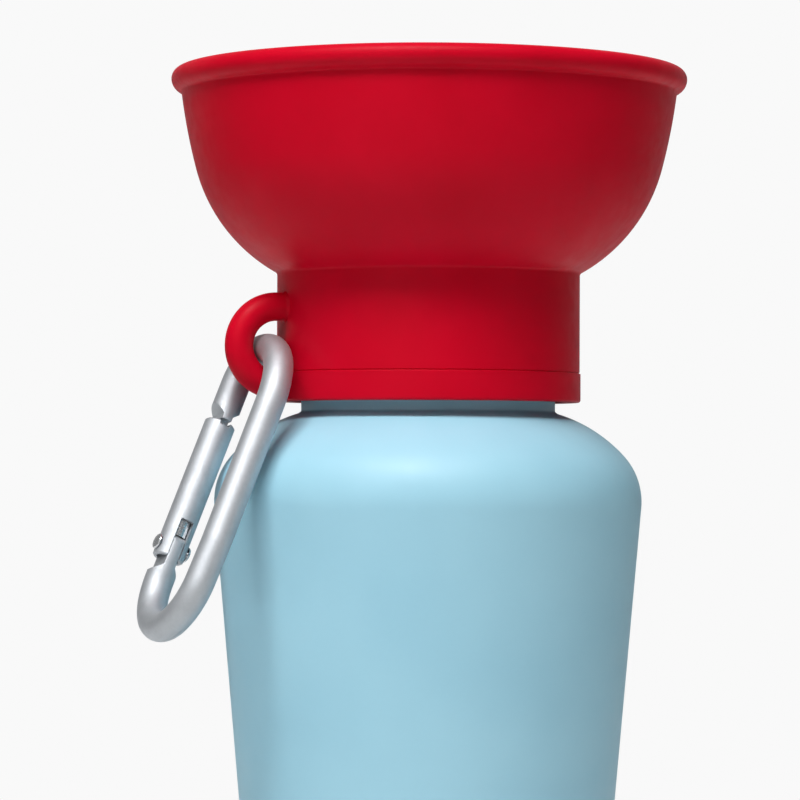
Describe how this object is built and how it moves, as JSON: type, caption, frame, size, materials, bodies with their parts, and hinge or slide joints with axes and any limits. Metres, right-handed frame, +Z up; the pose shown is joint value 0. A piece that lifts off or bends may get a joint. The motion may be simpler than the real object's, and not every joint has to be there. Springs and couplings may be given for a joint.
{
  "type": "dog travel water bottle",
  "caption": "Squeeze bottle with a screw-on drinking bowl, a dip tube and twist valve inside, and a spring-gate carabiner in the collar's loop.",
  "frame": {"origin": "on the bottle's axis, on the plane of its standing ring", "axes": "+Z up the bottle towards the bowl, -X towards the carrying loop and carabiner, Y level across them"},
  "size_m": [0.1209, 0.1096, 0.2137],
  "materials": {
    "bowl_red": "satin moulded polypropylene",
    "bottle_blue": "soft satin blow-moulded polyethylene",
    "silicone": "matt translucent silicone",
    "natural_plastic": "unpigmented polypropylene",
    "anodised_aluminium": "bead-blasted and clear anodised",
    "steel": "bright stainless"
  },
  "bodies": {
    "bottle": {"bottle": "bottle_blue", "neck_gasket": "silicone", "valve_insert": "natural_plastic", "port_plug": "silicone", "dip_tube": "natural_plastic"},
    "seal": {"wiper_seal": "silicone"},
    "top": {"bowl_top": "bowl_red"},
    "carabiner": {"carabiner_body": "anodised_aluminium", "gate_pin": "steel"},
    "gate": {"gate_tube": "anodised_aluminium", "gate_spring": "steel"},
    "plunger": {"gate_plunger": "steel"}
  },
  "joints": [
    {"name": "top_rise", "type": "slide", "parent": "bottle", "child": "seal", "axis": [0, 0, 1], "range_m": [0, 0.0063]},
    {"name": "top_twist", "type": "hinge", "parent": "seal", "child": "top", "pos_m": [0, 0, 0.158], "axis": [0, 0, 1], "range_deg": [0, 540]},
    {"name": "carabiner_swing", "type": "hinge", "parent": "top", "child": "carabiner", "pos_m": [-0.03565, 0, 0.1541], "axis": [-0.0785, 0.9969, 0], "range_deg": [0, 80]},
    {"name": "gate_open", "type": "hinge", "parent": "carabiner", "child": "gate", "pos_m": [-0.05623, 0.00096, 0.11223], "axis": [0.8958, 0.0705, -0.4387], "range_deg": [0, 24], "stiffness_Nm_per_rad": 0.05, "springref_deg": -28.65},
    {"name": "plunger_slide", "type": "slide", "parent": "gate", "child": "plunger", "axis": [0.4173, 0.2062, 0.8851], "range_m": [0, 0.0005], "deforming": ["gate_spring"]}
  ],
  "couplings": [
    {"joint": "top_rise", "follows": "top_twist", "m_per_rad": 0.00066845},
    {"joint": "plunger_slide", "follows": "gate_open", "m_per_rad": 0.001155}
  ]
}
